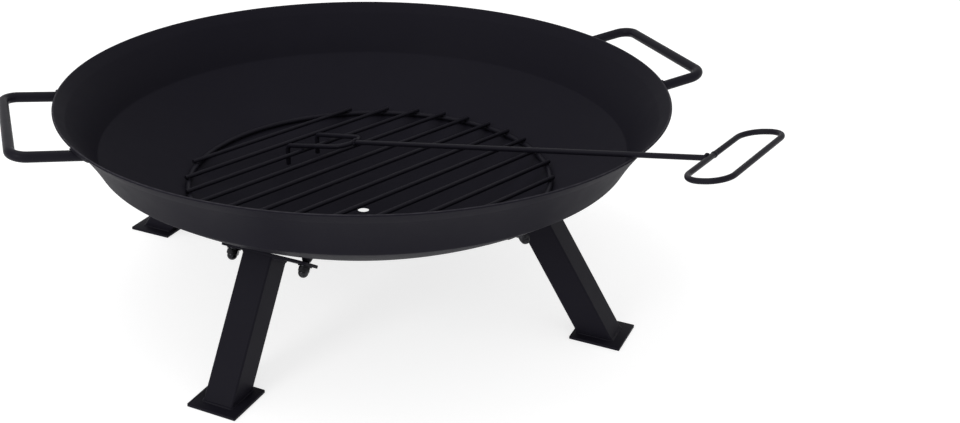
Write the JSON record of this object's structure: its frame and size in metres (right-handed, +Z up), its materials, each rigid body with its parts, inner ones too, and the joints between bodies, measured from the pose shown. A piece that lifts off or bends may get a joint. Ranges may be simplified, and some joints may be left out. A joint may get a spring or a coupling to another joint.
{
  "type": "fire pit with grate",
  "caption": "Round black steel fire bowl on splayed bolted legs, with two rod handles, a loose wire grate in the dish and a loose hooked poker leaning on the rim.",
  "frame": {"origin": "on the ground under the bowl's centre, midway between the four feet", "axes": "+Z up; +X through the right handle; the legs stand at 45, 135, 225 and 315 degrees"},
  "size_m": [0.687, 0.6661, 0.2444],
  "materials": {
    "bowl_coat": "matte heat-resistant black powder coat, fine orange peel",
    "handle_coat": "satin black powder coat on round rod",
    "leg_coat": "satin black powder coat on square tube and flat plate",
    "weld_coat": "black powder coat over rippled weld bead",
    "grate_coat": "matte black coat on drawn wire",
    "poker_coat": "satin black coat on drawn wire",
    "fastener": "black zinc plated steel"
  },
  "bodies": {
    "bowl_and_legs": {"fire_bowl": "bowl_coat", "handle_right": "handle_coat", "handle_left": "handle_coat", "handle_welds": "weld_coat", "leg_tube_front_left": "leg_coat", "mounting_strip_front_left": "leg_coat", "foot_plate_front_left": "leg_coat", "leg_tube_front_right": "leg_coat", "mounting_strip_front_right": "leg_coat", "foot_plate_front_right": "leg_coat", "leg_tube_back_right": "leg_coat", "mounting_strip_back_right": "leg_coat", "foot_plate_back_right": "leg_coat", "leg_tube_back_left": "leg_coat", "mounting_strip_back_left": "leg_coat", "foot_plate_back_left": "leg_coat", "strip_welds": "weld_coat", "foot_welds": "weld_coat", "weld_studs": "fastener", "stud_collars": "weld_coat", "washers": "fastener", "cap_nuts": "fastener"},
    "grate": {"grate_ring": "grate_coat", "grate_bar_01": "grate_coat", "grate_bar_02": "grate_coat", "grate_bar_03": "grate_coat", "grate_bar_04": "grate_coat", "grate_bar_05": "grate_coat", "grate_bar_06": "grate_coat", "grate_bar_07": "grate_coat", "grate_bar_08": "grate_coat", "grate_bar_09": "grate_coat", "grate_bar_10": "grate_coat", "grate_bar_11": "grate_coat"},
    "poker": {"poker_fork": "poker_coat", "poker_rod": "poker_coat", "poker_loop": "poker_coat", "poker_welds": "weld_coat"}
  },
  "joints": [
    {"name": "grate_lift", "type": "slide", "parent": "bowl_and_legs", "child": "grate", "axis": [0, 0, 1], "range_m": [0, 0.25]},
    {"name": "poker_lift", "type": "slide", "parent": "grate", "child": "poker", "axis": [0, 0, 1], "range_m": [0, 0.25]}
  ]
}
